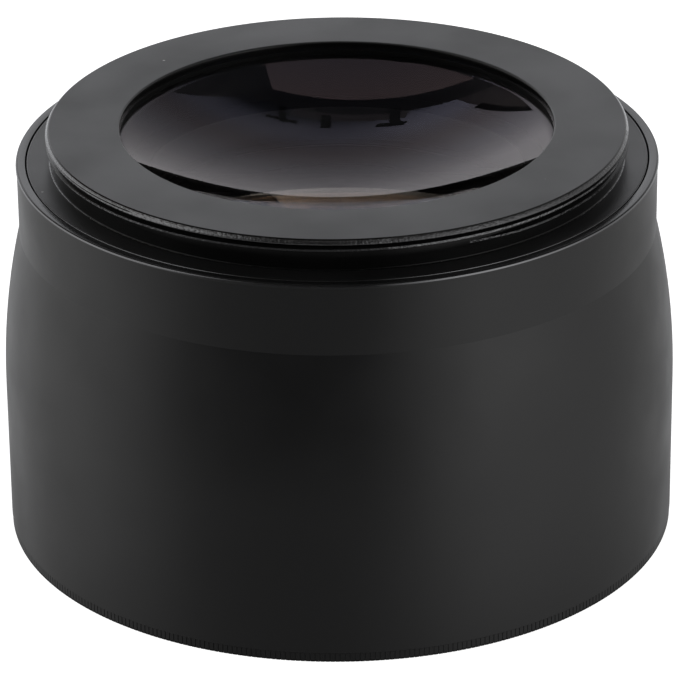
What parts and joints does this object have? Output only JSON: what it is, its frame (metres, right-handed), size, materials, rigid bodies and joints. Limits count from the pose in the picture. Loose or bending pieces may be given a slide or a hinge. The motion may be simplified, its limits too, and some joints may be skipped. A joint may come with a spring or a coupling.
{
  "type": "telephoto conversion lens",
  "caption": "Black screw-in telephoto conversion lens: swelling metal barrel, knurled front ring that unscrews, glass front and hollow-faced rear glass, threaded neck on the camera side.",
  "frame": {"origin": "centre of the front face, the rim that the lens stands on", "axes": "+Z along the optical axis from the front (subject) side to the camera side; the lens is round, so X and Y are any two directions across it"},
  "size_m": [0.0678, 0.0678, 0.0424],
  "materials": {
    "black_anodised": "satin black anodised aluminium, finely turned",
    "black_plate": "matt black anodised aluminium",
    "inner_black": "dull black anodised aluminium inside the lens",
    "coated_glass": "polished optical glass with a faint purple-red anti-reflection coating",
    "baffle_plastic": "matt black moulded plastic",
    "black_rubber": "smooth black rubber",
    "nylon": "thin translucent nylon sheet",
    "shim_brass": "rolled brass sheet",
    "blackened_steel": "blackened sheet steel"
  },
  "bodies": {
    "knurled_ring": {"front_ring": "black_anodised"},
    "gasket": {"front_gasket": "black_rubber"},
    "barrel": {"outer_barrel": "black_anodised", "front_lens_cell": "inner_black", "front_crown_lens": "coated_glass", "front_flint_lens": "coated_glass", "front_slip_washer": "nylon", "front_retaining_ring": "inner_black", "light_baffle_tube": "baffle_plastic", "baffle_lock_ring": "inner_black", "rear_mount_ring": "black_plate", "mount_shim": "shim_brass", "rear_lens_cell": "inner_black", "cell_seal_ring": "black_rubber", "rear_concave_lens": "coated_glass", "rear_lens_spacer": "inner_black", "rear_meniscus_lens": "coated_glass", "rear_stop_plate": "blackened_steel", "rear_slip_washer": "nylon", "rear_retaining_ring": "inner_black"}
  },
  "joints": [
    {"name": "barrel_turn", "type": "hinge", "parent": "knurled_ring", "child": "gasket", "pos_m": [0, 0, 0], "axis": [0, 0, 1], "range_deg": [0, 1440]},
    {"name": "barrel_rise", "type": "slide", "parent": "gasket", "child": "barrel", "axis": [0, 0, 1], "range_m": [0, 0.003]}
  ],
  "couplings": [
    {"joint": "barrel_turn", "follows": "barrel_rise", "rad_per_m": 8377.6}
  ]
}
